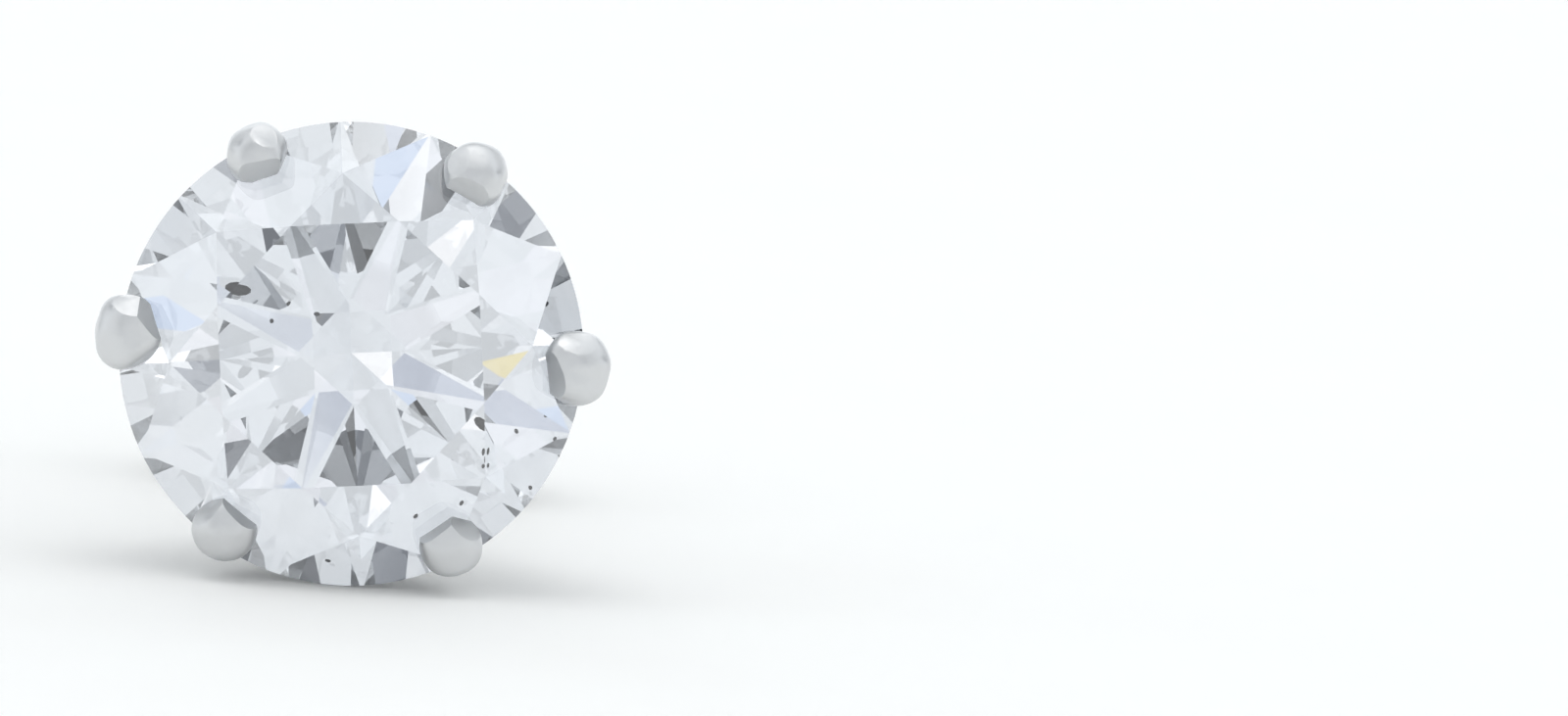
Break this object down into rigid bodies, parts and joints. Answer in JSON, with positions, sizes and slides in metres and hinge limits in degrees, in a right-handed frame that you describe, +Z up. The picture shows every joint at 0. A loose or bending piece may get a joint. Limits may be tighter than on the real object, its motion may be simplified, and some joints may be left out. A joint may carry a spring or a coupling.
{
  "type": "stud earring",
  "caption": "Round brilliant stone in a claw basket with a straight post and a butterfly ear back, lying on its side.",
  "frame": {"origin": "the ground under the middle of the stud as it lies on its side, on two claws and the ear back's edge", "axes": "+Z up, the stone's face towards -Y and tipped up a little, the post running back along +Y"},
  "size_m": [0.0072, 0.0158, 0.0065],
  "materials": {
    "stone": "polished facets, clear",
    "white_gold": "polished, rhodium plated"
  },
  "bodies": {
    "root": {"stone": "stone", "setting": "white_gold", "ear_back": "white_gold"}
  },
  "joints": []
}
